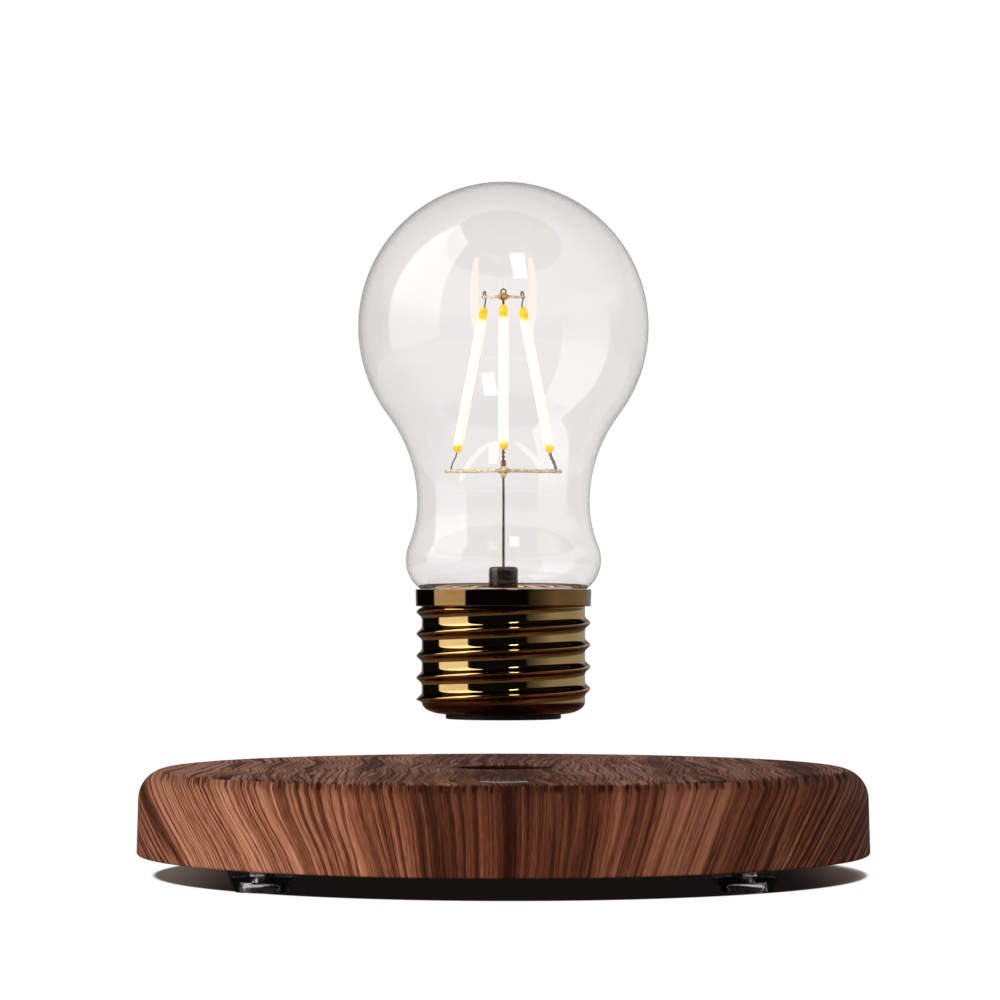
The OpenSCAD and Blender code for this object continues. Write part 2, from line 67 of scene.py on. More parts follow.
# Node sockets as expressions: maths on a Link adds Math nodes to its tree.
class Link:
    def __init__(self, tree, socket=None):
        self.tree = tree
        self.socket = socket

    def node(self, kind, inputs=None, settings=None, output=0):  # any node, settings are made first
        made = self.tree.nodes.new(kind)
        for name, value in (settings or {}).items():
            setattr(made, name, value)
        for key, value in (inputs or {}).items():
            if isinstance(value, Link):
                self.tree.links.new(value.socket, made.inputs[key])
            else:
                made.inputs[key].default_value = value
        return Link(self.tree, made.outputs[output])

    def maths(self, operation, *values):
        return self.node("ShaderNodeMath", dict(enumerate(values)), {"operation": operation})

    def __add__(self, other):
        return self.maths("ADD", self, other)

    __radd__ = __add__

    def __sub__(self, other):
        return self.maths("SUBTRACT", self, other)

    def __rsub__(self, other):
        return self.maths("SUBTRACT", other, self)

    def __mul__(self, other):
        return self.maths("MULTIPLY", self, other)

    def __truediv__(self, other):
        return self.maths("DIVIDE", self, other)

    def __pow__(self, other):
        return self.maths("POWER", self, other)

    def least(self, other):
        return self.maths("MINIMUM", self, other)

    def most(self, other):
        return self.maths("MAXIMUM", self, other)

    def rise(self, start, end):  # smooth step from 0 at start to 1 at end
        span = {"Value": self, "From Min": start, "From Max": end}
        return self.node("ShaderNodeMapRange", span, {"interpolation_type": "SMOOTHSTEP"})

    def parts(self):
        split = self.tree.nodes.new("ShaderNodeSeparateXYZ")
        self.tree.links.new(self.socket, split.inputs[0])
        return [Link(self.tree, out) for out in split.outputs]

    def vectors(self, operation, inputs):
        return self.node("ShaderNodeVectorMath", inputs, {"operation": operation})

    def vector(self, x, y, z):
        return self.node("ShaderNodeCombineXYZ", {0: x, 1: y, 2: z})

    def noise(self, vector, scale, detail=2.0, roughness=0.5):
        spec = {"Vector": vector, "Scale": scale, "Detail": detail, "Roughness": roughness}
        return self.node("ShaderNodeTexNoise", spec)

    def noiseAt(self, x, y, z, detail=2.0, roughness=0.5):  # each part comes with its own scale
        return self.noise(self.vector(x, y, z), 1.0, detail, roughness)

    def mix(self, factor, first, second):  # colours
        return self.node("ShaderNodeMix", {0: factor, 6: first, 7: second}, {"data_type": "RGBA"}, 2)

    def ramp(self, stops):
        made = self.node("ShaderNodeValToRGB", {0: self})
        elements = made.socket.node.color_ramp.elements
        while len(elements) < len(stops):
            elements.new(1.0)
        for element, (place, colour) in zip(elements, stops):
            element.position = place
            element.color = solid(colour)
        return made

    def bump(self, strength, distance):  # this value as height, distance in metres
        spec = {"Strength": strength, "Distance": distance, "Height": self}
        return self.node("ShaderNodeBump", spec)


def solid(colour):
    return (*colour, 1.0)


def newMaterial(name):
    material = bpy.data.materials.new(name)
    material.use_nodes = True
    return material, Link(material.node_tree)


def newFinish(name, constants, varying):
    material, bench = newMaterial(name)
    shader = bench.tree.nodes["Principled BSDF"]
    for key, value in constants.items():
        shader.inputs[key].default_value = value
    for key, link in varying(bench).items():
        bench.tree.links.new(link.socket, shader.inputs[key])
    return material


def showMixed(bench, factor, first, second):  # two shaders as the material's surface
    both = bench.node("ShaderNodeMixShader", {0: factor, 1: first, 2: second})
    bench.tree.links.new(both.socket, bench.tree.nodes["Material Output"].inputs["Surface"])


def placeMm(bench):  # object coordinates in millimetres
    place = bench.node("ShaderNodeTexCoord", output="Object")
    return [part * 1000.0 for part in place.parts()]


# Camera at the photograph's place.
cameraSpec = {
    "distance": 793.0,  # from the bulb's axis
    "height": 57.2,
    "side": -0.7,
    "lens": 138.2,
    "sensor": 36.0,
    "horizonRow": 596.5,  # row of the frame at the camera's own height
    "frameRows": 1000.0,
}


def makeCamera(spec):
    data = bpy.data.cameras.new("photoCamera")
    data.lens = spec["lens"]
    data.sensor_width = spec["sensor"]
    data.clip_start = 0.01
    data.clip_end = 50.0
    camera = addObject("photoCamera", data)
    focalRows = spec["lens"] / spec["sensor"] * spec["frameRows"]
    pitch = math.atan((spec["horizonRow"] - spec["frameRows"] / 2) / focalRows)
    camera.location = (spec["side"] * mm, -spec["distance"] * mm, spec["height"] * mm)
    camera.rotation_euler = (math.pi / 2 + pitch, 0.0, 0.0)
    scene.camera = camera


makeCamera(cameraSpec)


# Studio: softboxes, a world that is white to the eye and dark where metal faces the camera, a floor.
lampSpecs = {  # place, aim, width and height, radiance, seen in reflections
    "leftKey": ((-0.80, -0.66, 0.11), (0.0, 0.0, 0.04), (0.5, 0.16), 27.0, False),
    "rightFill": ((0.52, -0.88, 0.10), (0.0, 0.0, 0.04), (0.4, 0.14), 16.0, False),
    "frontWindow": ((0.155, -0.57, 0.70), (0.0, 0.0, 0.12), (0.15, 0.31), 3.4, True),
    "backTop": ((0.0, 0.80, 0.52), (0.0, 0.0, 0.02), (1.30, 0.30), 3.1, False),
}
panelSpec = {  # left softbox, seen by glossy surfaces only
    "x": -0.70, "near": -0.587, "far": 0.16, "low": -0.06, "high": 1.75, "feather": 0.03,
    "dim": 0.90, "bright": 1.75, "brightTo": (0.05, 0.5),
}
worldSpec = {
    "ambient": 0.03,
    "mirrorDark": 0.004,
    "mirrorBack": 0.26,
    "panelSteps": (0.05, 0.23, 0.05),  # dim panel along the right, brighter towards the back
}
floorSpec = {
    "radius": 0.55, "tone": 0.22, "shadowReach": 0.07, "shadowDark": 0.004, "shadowRise": (0.18, 0.88),
    "sideGlow": 0.13, "glowFrom": 0.050, "glowTo": 0.078, "glowShift": 0.004,  # light under the edge
    "tones": [(0.0, (0.004, 0.0032, 0.003)), (0.10, (0.108, 0.080, 0.069)), (0.5, (0.50, 0.465, 0.45)),
              (1.0, (1.0, 1.0, 1.0))],  # colour of the shadow, from dark to light
    "umbra": (0.0014, 0.003), "umbraEdge": (0.0726, 0.0742),  # where the shadow ends, its middle and radii
}


def makeLamps(specs):
    for name, (place, aim, size, radiance, mirrored) in specs.items():
        data = bpy.data.lights.new(name, "AREA")
        data.shape = "RECTANGLE"
        data.size, data.size_y = size
        data.energy = radiance * math.pi * data.size * data.size_y
        lamp = addObject(name, data)
        lamp.location = place
        lamp.rotation_euler = (Vector(aim) - Vector(place)).to_track_quat("-Z", "Y").to_euler()
        lamp.visible_camera = False
        lamp.visible_glossy = mirrored
        lamp.visible_transmission = mirrored


def pathKind(bench, kind):
    return bench.node("ShaderNodeLightPath", output=kind)


def whitePaths(bench):  # paths that see plain white, and paths that left glass after a reflection
    through = pathKind(bench, "Is Transmission Ray")
    reflected = pathKind(bench, "Glossy Depth").least(1.0)
    return pathKind(bench, "Is Camera Ray").most(through * (1.0 - reflected)), through * reflected


def makeWorld(spec):
    world = bpy.data.worlds.new("studio")
    world.use_nodes = True
    scene.world = world
    tree = world.node_tree
    bench = Link(tree)
    white, bounced = whitePaths(bench)
    studio = bounced.most(pathKind(bench, "Is Glossy Ray"))
    x, y, z = bench.node("ShaderNodeTexCoord", output="Generated").parts()
    back = y.rise(0.90, 0.97)  # backdrop straight behind the lamp
    first, second, third = spec["panelSteps"]
    panel = y.rise(-0.9, -0.2) * second + y.rise(0.1, 0.9) * third + first
    sideMask = x.rise(0.50, 0.60).most(x.rise(0.10, 0.30) * y.rise(0.0, 0.3))
    panel = panel * sideMask * (1.0 - z.rise(0.30, 0.42)) * (z.rise(-0.09, -0.02) * 0.5 + 0.5)
    mirrored = (panel.most(back * spec["mirrorBack"])).most(spec["mirrorDark"])
    wide = y.rise(0.25, 1.0).most(1.0 - z.rise(-0.35, 0.10))  # inside glass backdrop and floor show wider
    mirrored = mirrored.most(bounced * wide)
    level = studio * mirrored + (1.0 - studio) * spec["ambient"]
    level = white + (1.0 - white) * level
    tree.links.new(level.socket, tree.nodes["Background"].inputs["Color"])


def makePanel(spec):
    corners = [(spec["x"], y, z) for y, z in ((spec["near"], spec["low"]), (spec["far"], spec["low"]),
                                              (spec["far"], spec["high"]), (spec["near"], spec["high"]))]
    mesh = bpy.data.meshes.new("softPanel")
    mesh.from_pydata(corners, [], [(0, 1, 2, 3)])
    panel = addObject("softPanel", mesh)
    material, bench = newMaterial("panelCloth")
    _, y, z = bench.node("ShaderNodeTexCoord", output="Object").parts()
    level = z.rise(*spec["brightTo"]) * (spec["bright"] - spec["dim"]) + spec["dim"]
    inside = y.rise(spec["near"], spec["near"] + spec["feather"])
    inside = inside * (1.0 - y.rise(spec["far"] - spec["feather"], spec["far"]))
    inside = inside * z.rise(spec["low"], spec["low"] + spec["feather"])
    white, _ = whitePaths(bench)
    clear = bench.node("ShaderNodeBsdfTransparent")
    shine = bench.node("ShaderNodeEmission", {"Color": level * inside})
    showMixed(bench, 1.0 - white, clear, shine)
    mesh.materials.append(material)
    panel.visible_camera = False
    panel.visible_diffuse = False
    panel.visible_shadow = False


def makeFloor(spec):
    shape = bmesh.new()
    bmesh.ops.create_circle(shape, cap_ends=True, segments=96, radius=spec["radius"])
    floor = addObject("studioFloor", toMesh(shape, "studioFloor"))
    material, bench = newMaterial("floorPaper")
    white, bounced = whitePaths(bench)
    x, y, _ = bench.node("ShaderNodeTexCoord", output="Object").parts()
    sky = bench.node("ShaderNodeAmbientOcclusion", {"Distance": spec["shadowReach"]}, {"samples": 12}, "AO")
    lit = sky.rise(*spec["shadowRise"]) ** 1.6 * (1.0 - spec["shadowDark"]) + spec["shadowDark"]
    side = x - spec["glowShift"]
    glow = side.maths("ABSOLUTE", side).rise(spec["glowFrom"], spec["glowTo"]) ** 1.5 * spec["sideGlow"]
    lit = lit + (1.0 - lit) * glow
    away = ((x - spec["umbra"][0]) ** 2.0 + (y - spec["umbra"][1]) ** 2.0) ** 0.5
    lit = lit.most(away.rise(*spec["umbraEdge"]))
    paper = bench.node("ShaderNodeBsdfDiffuse", {"Color": solid((spec["tone"],) * 3)})
    bright = bench.node("ShaderNodeEmission", {"Color": lit.ramp(spec["tones"])})
    showMixed(bench, white.most(bounced), paper, bright)
    floor.data.materials.append(material)


makeLamps(lampSpecs)
makeWorld(worldSpec)
makePanel(panelSpec)
makeFloor(floorSpec)
print("studio ready")


# Mesh helpers, profiles in millimetres.
def arc(centre, radius, start, end, steps):
    turns = [math.radians(start + (end - start) * i / steps) for i in range(steps + 1)]
    return [(centre[0] + radius * math.cos(t), centre[1] + radius * math.sin(t)) for t in turns]


def lathe(name, profile, segments=128, closed=False):
    shape = bmesh.new()
    turns = [2 * math.pi * i / segments for i in range(segments)]
    rings = []
    for radius, height in profile:
        spots = turns if radius > 1e-6 else turns[:1]
        rings.append([shape.verts.new((radius * mm * math.cos(t), radius * mm * math.sin(t), height * mm))
                      for t in spots])
    pairs = list(zip(rings, rings[1:])) + ([(rings[-1], rings[0])] if closed else [])
    for near, far in pairs:
        for i in range(segments):
            j = (i + 1) % segments
            corners = [near[i % len(near)], near[j % len(near)], far[j % len(far)], far[i % len(far)]]
            face = list(dict.fromkeys(corners))
            if len(face) > 2:
                shape.faces.new(face)
    bmesh.ops.recalc_face_normals(shape, faces=shape.faces)
    return toMesh(shape, name)


def joined(name, meshes):
    shape = bmesh.new()
    for mesh in meshes:
        shape.from_mesh(mesh)
        bpy.data.meshes.remove(mesh)
    bmesh.ops.remove_doubles(shape, verts=shape.verts, dist=1e-6)
    bmesh.ops.recalc_face_normals(shape, faces=shape.faces)
    return toMesh(shape, name)


def discard(piece):
    mesh = piece.data
    bpy.data.objects.remove(piece)
    bpy.data.meshes.remove(mesh)


def evaluated(host, name):  # plain mesh of a host with its modifiers, the host goes
    graph = bpy.context.evaluated_depsgraph_get()
    mesh = bpy.data.meshes.new_from_object(host.evaluated_get(graph), depsgraph=graph)
    mesh.name = name
    discard(host)
    return mesh


def cut(name, mesh, cutters):
    host = addObject(name + "Host", mesh)
    tools = [addObject(name + "Cutter", cutter) for cutter in cutters]
    for tool in tools:
        step = host.modifiers.new("cut", "BOOLEAN")
        step.operation = "DIFFERENCE"
        step.solver = "EXACT"
        step.object = tool
    result = evaluated(host, name)
    for tool in tools:
        discard(tool)
    return result


def moved(mesh, matrix):
    mesh.transform(matrix)
    return mesh


def rodCutter(name, radius, length, place, turn):  # millimetres, along the turned Z
    mesh = lathe(name, [(0, -length / 2), (radius, -length / 2), (radius, length / 2), (0, length / 2)], 96)
    return moved(mesh, Matrix.Translation(Vector(place) * mm) @ turn)


def finished(name, mesh, body, replaced, slot, sharp):  # sharp edges from that angle on
    mesh.materials.clear()
    mesh.materials.append(finishes[slot])
    mesh.shade_smooth()
    mesh.set_sharp_from_angle(angle=math.radians(sharp))
    piece = addObject(name, mesh)
    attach(piece, body)
    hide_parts(*replaced)
    return piece


def boxMm(node):
    low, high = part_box(node)
    return low / mm, high / mm


# Geometry Nodes helpers.
def newTree(name, sizes, takesShape):
    tree = bpy.data.node_groups.new(name, "GeometryNodeTree")
    if takesShape:
        tree.interface.new_socket(name="Geometry", in_out="INPUT", socket_type="NodeSocketGeometry")
    for label, kind in sizes.items():
        tree.interface.new_socket(name=label, in_out="INPUT", socket_type="NodeSocket" + kind)
    tree.interface.new_socket(name="Geometry", in_out="OUTPUT", socket_type="NodeSocketGeometry")
    entry = tree.nodes.new("NodeGroupInput")
    return tree, {socket.name: Link(tree, socket) for socket in entry.outputs if socket.name}


def closeTree(tree, shape, material):
    whole = shape.node("GeometryNodeRealizeInstances", {"Geometry": shape})
    painted = whole.node("GeometryNodeSetMaterial", {"Geometry": whole, "Material": material})
    leave = tree.nodes.new("NodeGroupOutput")
    tree.links.new(painted.socket, leave.inputs[0])


def grown(name, host, tree, values):  # runs a tree on a host and gives the plain mesh
    step = host.modifiers.new("nodes", "NODES")
    step.node_group = tree
    for item in tree.interface.items_tree:
        if item.in_out == "INPUT" and item.name in values:
            step[item.identifier] = values[item.name]
    return evaluated(host, name)


def threadTree():  # tube whose radius follows a screw thread
    floats = ["root", "crest", "pitch", "low", "height", "start", "power", "fadeIn", "fadeOut"]
    sizes = {"columns": "Int", "rows": "Int", **dict.fromkeys(floats, "Float"), "material": "Material"}
    tree, size = newTree("screwThread", sizes, False)
    bench = Link(tree)
    grid = bench.node("GeometryNodeMeshGrid", {
        "Size X": 1.0, "Size Y": 1.0, "Vertices X": size["columns"] + 1, "Vertices Y": size["rows"] + 1})
    u, v, _ = bench.node("GeometryNodeInputPosition").parts()
    turn = (u + 0.5) * (2 * math.pi)
    climb = (v + 0.5) * size["height"]
    wave = bench.maths("COSINE", climb / size["pitch"] * (2 * math.pi) - turn + size["start"])
    form = (wave * 0.5 + 0.5) ** size["power"]
    fade = (climb / size["fadeIn"]).least(1.0) * ((size["height"] - climb) / size["fadeOut"]).least(1.0)
    radius = size["root"] + (size["crest"] - size["root"]) * form * fade
    spot = bench.vector(radius * bench.maths("COSINE", turn), radius * bench.maths("SINE", turn),
                        size["low"] + climb)
    skin = bench.node("GeometryNodeSetPosition", {"Geometry": grid, "Position": spot})
    skin = bench.node("GeometryNodeMergeByDistance", {"Geometry": skin, "Distance": 1e-7})
    closeTree(tree, skin, size["material"])
    return tree


def copiesTree():  # copies of a shape on the corners of a circle
    sizes = {"count": "Int", "radius": "Float", "start": "Float", "material": "Material"}
    tree, size = newTree("copiesOnCircle", sizes, True)
    bench = Link(tree)
    spots = bench.node("GeometryNodeMeshCircle", {"Vertices": size["count"], "Radius": size["radius"]})
    spin = bench.vector(0.0, 0.0, size["start"])
    spots = bench.node("GeometryNodeTransform", {"Geometry": spots, "Rotation": spin})
    copies = bench.node("GeometryNodeInstanceOnPoints", {"Points": spots, "Instance": size["Geometry"]})
    closeTree(tree, copies, size["material"])
    return tree


def wireTree(strands):  # one or more strands wound round a path
    sizes = {"strand": "Float", "offset": "Float", "pitch": "Float", "material": "Material"}
    tree, size = newTree("wireOf" + str(strands), sizes, True)
    bench = Link(tree)
    path = bench.node("GeometryNodeMeshToCurve", {"Mesh": size["Geometry"]})
    length = bench.node("GeometryNodeSplineParameter", output="Length")
    normal = bench.node("GeometryNodeInputNormal")
    tangent = bench.node("GeometryNodeInputTangent")
    side = bench.vectors("CROSS_PRODUCT", {0: tangent, 1: normal})
    ring = bench.node("GeometryNodeCurvePrimitiveCircle", {"Resolution": 10, "Radius": size["strand"]})
    bundle = None
    for i in range(strands):
        turn = length / size["pitch"] * (2 * math.pi) + 2 * math.pi * i / strands
        first = bench.vectors("SCALE", {0: normal, "Scale": bench.maths("COSINE", turn) * size["offset"]})
        second = bench.vectors("SCALE", {0: side, "Scale": bench.maths("SINE", turn) * size["offset"]})
        away = bench.vectors("ADD", {0: first, 1: second})
        line = bench.node("GeometryNodeSetPosition", {"Geometry": path, "Offset": away})
        ends = {"Curve": line, "Profile Curve": ring, "Fill Caps": True}
        tube = bench.node("GeometryNodeCurveToMesh", ends)
        if bundle is None:
            bundle = bench.node("GeometryNodeJoinGeometry", {0: tube})
        else:
            tree.links.new(tube.socket, bundle.socket.node.inputs[0])
    closeTree(tree, bundle, size["material"])
    return tree


def smoothPath(points, steps=8):  # curve through points, millimetres
    spots = [Vector(point) for point in points]
    spots = [2 * spots[0] - spots[1]] + spots + [2 * spots[-1] - spots[-2]]
    path = []
    for a, b, c, d in zip(spots, spots[1:], spots[2:], spots[3:]):
        for i in range(steps):
            t = i / steps
            path.append(0.5 * (2 * b + (c - a) * t + (2 * a - 5 * b + 4 * c - d) * t ** 2
                               + (3 * b - a - 3 * c + d) * t ** 3))
    return path + [spots[-2]]


def wire(name, path, tree, strand, material, offset=0.0, pitch=1.0):
    shape = bmesh.new()
    spots = [shape.verts.new(point * mm) for point in path]
    for near, far in zip(spots, spots[1:]):
        shape.edges.new((near, far))
    host = addObject(name + "Path", toMesh(shape, name + "Path"))
    return grown(name, host, tree, {"strand": strand * mm, "offset": offset * mm, "pitch": pitch * mm,
                                    "material": material})


def threaded(name, slot, spec, low, height):  # tube with a screw thread, millimetres
    sizes = {"root": spec["root"], "crest": spec["crest"], "pitch": spec["pitch"], "low": low,
             "height": height, "fadeIn": spec["runIn"], "fadeOut": spec["runOut"]}
    values = {label: size * mm for label, size in sizes.items()}
    values["columns"] = spec["columns"]
    values["rows"] = int(height / spec["pitch"] * spec["rowsPerTurn"])
    values["start"] = math.radians(spec["start"])
    values["power"] = spec["power"]
    values["material"] = finishes[slot]
    host = addObject(name + "Host", bpy.data.meshes.new(name + "Host"))
    return grown(name, host, threadNodes, values)


threadNodes = threadTree()
copyNodes = copiesTree()
singleWire = wireTree(1)
twistedWire = wireTree(2)


# Finishes.
woodSpec = {
    "top": 22.0,  # height of the base's top
    "fan": 105.0,  # how the lines on the side close in downwards, once they are over the rim
    "overRim": 1.6,
    "curl": 12.0,  # sideways wander of the lines on the top, and its quicker ripple
    "ripple": 1.0,
    "halfWidth": 75.0,
    "topPaintedLight": (0.05, 0.13),  # painted light: the top is paler than the side below it, most of all in the middle
    "topBold": 1.4,
    "dimple": 10.2,
    "bandsAndShade": [(0.0, 0.57), (0.06, 0.59), (0.17, 0.66), (0.28, 0.47), (0.40, 0.22), (0.53, 0.12),
              (0.65, 0.36), (0.78, 0.50), (0.90, 0.35), (1.0, 0.34)],  # light and dark, left to right: wood bands together with painted light and shade
    "lines": [(0.0, 1.0), (0.11, 0.9), (0.18, 0.55), (0.34, 0.45), (0.42, 0.16), (0.82, 0.16), (0.88, 0.5),
              (1.0, 0.8)],  # how strongly the fine lines show
    "stops": [(0.0, (0.034, 0.0088, 0.0046)), (0.25, (0.091, 0.0262, 0.0130)),
              (0.50, (0.235, 0.0735, 0.0365)), (0.75, (0.470, 0.178, 0.096)), (1.0, (0.67, 0.300, 0.180))],
}


def woodFinish(spec):
    def acrossSheet(share, levels):
        ramp = share.ramp([(place, (level,) * 3) for place, level in levels])
        return ramp.node("ShaderNodeRGBToBW", {0: ramp})

    def groove(value, start):  # thin dark line once in each whole step of a value
        step = value.maths("FRACT", value)
        return step.rise(start, start + 0.16) * (1.0 - step.rise(0.92, 1.0))

    def figure(bench, line, along, seed, crisp):  # lighter and darker than the belt, and the fine lines
        sway = bench.noiseAt(line * 0.09, along * 0.006, seed, 1.0)
        patch = bench.noiseAt(line * 0.24, along * 0.010, seed + 2.9, 2.0)
        streak = bench.noiseAt(line * 0.62, along * 0.010, seed + 4.1, 2.0, 0.6)
        hair = bench.noiseAt(line * 2.6, along * 0.022, seed + 6.4, 2.0, 0.6)
        dash = bench.noiseAt(line * 4.5, along * 0.35, seed + 3.3, 1.0)
        broad = bench.noiseAt(line * 0.11, along * 0.004, seed + 5.2, 1.0)
        bold = patch.rise(0.36, 0.58)
        vein = groove(line * 0.42 + sway * 7.0 + streak * 1.2, 0.56) * bold
        thin = groove(line * 1.05 + sway * 12.0 + streak * 2.2, 0.52) * (1.0 - patch.rise(0.42, 0.62) * 0.8)
        tone = (broad - 0.5) * 0.8 + (streak - 0.5) * 0.75 + (hair - 0.5) * (crisp * 0.4 + 0.35)
        tone = tone + (dash - 0.5) * (crisp * 0.5 + 0.25) - vein * (crisp * 0.34 + 0.14)
        return tone - thin * (crisp * 0.40 + 0.04) + crisp * 0.12, hair

    def grain(bench):
        x, y, z = placeMm(bench)
        drop = (spec["top"] - z).most(0.0)
        flat = 1.0 - drop.rise(0.30, 0.48)
        slow = bench.noiseAt(x * 0.012, y * 0.022, 3.7, 1.5) - 0.5
        quick = bench.noiseAt(x * 0.05, y * 0.085, 8.1, 1.0) - 0.5
        across = x / (1.0 - (drop - spec["overRim"]).most(0.0) / spec["fan"])
        share = across / (2 * spec["halfWidth"]) + 0.5
        crisp = acrossSheet(share, spec["lines"])
        topLine = x + slow * spec["curl"] + quick * spec["ripple"]
        topTone, topHair = figure(bench, topLine, y, 1.3, crisp * 0.4 + 0.55)
        allOver, middle = spec["topPaintedLight"]
        # painted light on the top, strongest in the middle
        lift = (1.0 - across.maths("ABSOLUTE", across).rise(9.0, 38.0)) * middle + allOver
        cloud = bench.noiseAt(x * 0.06, y * 0.028, 5.9, 1.0) - 0.5
        topTone = topTone * spec["topBold"] + lift + cloud * 0.6
        along = drop * 1.2 + y * 0.05
        bend = bench.noiseAt(across * 0.03, along * 0.05, 4.4, 1.0) - 0.5
        sideTone, sideHair = figure(bench, across + bend * 2.4, along, 17.6, crisp)
        rim = drop.rise(0.12, 0.35) * (1.0 - drop.rise(0.8, 2.0))
        pore = bench.noiseAt(across * 1.2, along * 0.16, 9.6, 1.0).rise(0.52, 0.62) * rim
        # wood bands and painted light and shade across the sheet, on top and side alike
        bandAndShade = acrossSheet(share, spec["bandsAndShade"])
        reach = (x * x + y * y) ** 0.5
        # painted shade: the inside of the dimple is darkened
        recessShade = (1.0 - reach.rise(spec["dimple"] - 0.3, spec["dimple"] + 0.2)) * drop.rise(0.05, 0.5)
        tone = topTone * flat + sideTone * (1.0 - flat) + bandAndShade + 0.11 - pore * 0.42 - recessShade * 0.8
        hair = topHair * flat + sideHair * (1.0 - flat)
        colour = tone.ramp(spec["stops"])
        return {"Base Color": colour, "Roughness": 0.62 - tone * 0.18,
                "Normal": (hair - pore).bump(0.25, 0.00006)}
    sheen = {"Specular IOR Level": 0.08, "Sheen Weight": 0.03, "Sheen Roughness": 0.4,
             "Sheen Tint": (0.90, 0.48, 0.32, 1.0)}
    return newFinish("striped wood", sheen, grain)


# where the cap's painted reflection and shade change: radius of valley and crest, height of thread and band
brassSpec = {"valley": (17.0, 17.25), "crest": (17.66, 17.86), "thread": (35.2, 36.0), "band": (55.1, 55.3)}


def brassFinish(spec):
    def surface(bench):
        x, y, z = placeMm(bench)
        cloud = bench.noiseAt(x * 0.12, y * 0.12, z * 0.5, 3.0)
        drawn = bench.noiseAt(x * 0.3, y * 0.3, z * 9.0, 2.0)
        plain = bench.mix(cloud.rise(0.3, 0.7), solid((0.37, 0.200, 0.064)), solid((0.44, 0.250, 0.086)))
        # painted reflection in the valleys and on the crests, painted shade on the flanks and the dome
        shineBrass = bench.mix(cloud.rise(0.3, 0.7), solid((0.82, 0.535, 0.205)), solid((0.92, 0.62, 0.250)))
        shadeBrass = bench.mix(cloud.rise(0.3, 0.7), solid((0.11, 0.050, 0.020)), solid((0.17, 0.085, 0.034)))
        reach = (x * x + y * y) ** 0.5
        shineZones = (1.0 - reach.rise(*spec["valley"])).most(reach.rise(*spec["crest"]))  # painted reflection and shade: valleys and crests bright, the flanks dark
        cap = bench.mix(shineZones * z.rise(*spec["thread"]), shadeBrass, shineBrass)
        colour = bench.mix(z.rise(*spec["band"]), cap, plain)
        return {"Base Color": colour, "Roughness": 0.034 + cloud * 0.03 + drawn * 0.015,
                "Normal": drawn.bump(0.05, 0.00002)}
    return newFinish("polished brass", {"Metallic": 1.0}, surface)


def glassFinish(name, tint, density, ior):
    def surface(bench):
        x, y, z = placeMm(bench)
        cloud = bench.noiseAt(x * 0.04, y * 0.04, z * 0.04, 1.0)
        return {"Base Color": bench.mix(cloud, solid(tint), (1.0, 0.996, 0.990, 1.0))}
    glass = newFinish(name, {"Transmission Weight": 1.0, "IOR": ior, "Roughness": 0.0}, surface)
    tree = glass.node_tree
    smoke = {"Color": (0.60, 0.57, 0.53, 1.0), "Density": density}
    inside = Link(tree).node("ShaderNodeVolumeAbsorption", smoke)
    tree.links.new(inside.socket, tree.nodes["Material Output"].inputs["Volume"])
    return glass


# Plain finishes: two colours that cloud into each other, roughness, metal, grain size, bump.
plainSpecs = {
    "black_plastic": ((0.003, 0.003, 0.003), (0.007, 0.006, 0.006), 0.50, 0.0, 2.2, 0.30),
    "screw_steel": ((0.50, 0.48, 0.46), (0.70, 0.68, 0.65), 0.18, 1.0, 0.8, 0.10),
    "pad_metal": ((0.66, 0.63, 0.61), (0.84, 0.81, 0.79), 0.14, 1.0, 1.6, 0.10),
    "contact_brass": ((0.62, 0.42, 0.17), (0.80, 0.58, 0.27), 0.22, 1.0, 0.9, 0.10),
    "board_green": ((0.010, 0.085, 0.032), (0.018, 0.150, 0.055), 0.38, 0.0, 0.5, 0.10),
    "chip_black": ((0.014, 0.014, 0.015), (0.030, 0.029, 0.028), 0.55, 0.0, 3.0, 0.30),
    "can_aluminium": ((0.58, 0.59, 0.61), (0.74, 0.74, 0.75), 0.30, 1.0, 1.2, 0.10),
    "ferrite": ((0.030, 0.030, 0.032), (0.075, 0.074, 0.076), 0.62, 0.0, 1.4, 0.40),
    "bobbin_white": ((0.66, 0.63, 0.54), (0.78, 0.76, 0.68), 0.45, 0.0, 0.9, 0.15),
    "copper": ((0.50, 0.19, 0.085), (0.74, 0.35, 0.18), 0.28, 1.0, 2.6, 0.35),
    "lead_red": ((0.36, 0.020, 0.014), (0.50, 0.036, 0.026), 0.36, 0.0, 1.0, 0.10),
    "magnet_nickel": ((0.60, 0.58, 0.54), (0.76, 0.74, 0.70), 0.20, 1.0, 0.6, 0.08),
    "plate_bronze": ((0.66, 0.38, 0.20), (0.95, 0.72, 0.50), 0.14, 1.0, 0.5, 0.15),
    "ferrule_dark": ((0.080, 0.066, 0.062), (0.200, 0.172, 0.162), 0.12, 1.0, 0.7, 0.06),
    "wire_bronze": ((0.12, 0.066, 0.038), (0.34, 0.20, 0.11), 0.34, 0.8, 3.5, 0.30),
    "bead_amber": ((0.16, 0.060, 0.012), (0.62, 0.34, 0.09), 0.16, 0.0, 1.3, 0.30),
}


def plainFinish(name, spec):
    first, second, rough, metal, grainSize, bump = spec

    def surface(bench):
        x, y, z = placeMm(bench)
        spot = bench.vector(x, y, z)
        cloud = bench.noise(spot, 0.22 * grainSize, 3.0, 0.6)
        grain = bench.noise(spot, 1.9 * grainSize, 2.0)
        colour = bench.mix((cloud * 0.7 + grain * 0.3).rise(0.32, 0.68), solid(first), solid(second))
        return {"Base Color": colour, "Roughness": rough - 0.05 + grain * 0.10,
                "Normal": grain.bump(bump, 0.00005)}
    return newFinish(name, {"Metallic": metal}, surface)


spiderFinishSpec = {  # amber solder in the middle and on the upper tips, pale flecked arms
    "core": (1.0, 1.8), "tips": (4.5, 4.9), "upper": 100.0, "fleck": 1.3,
}


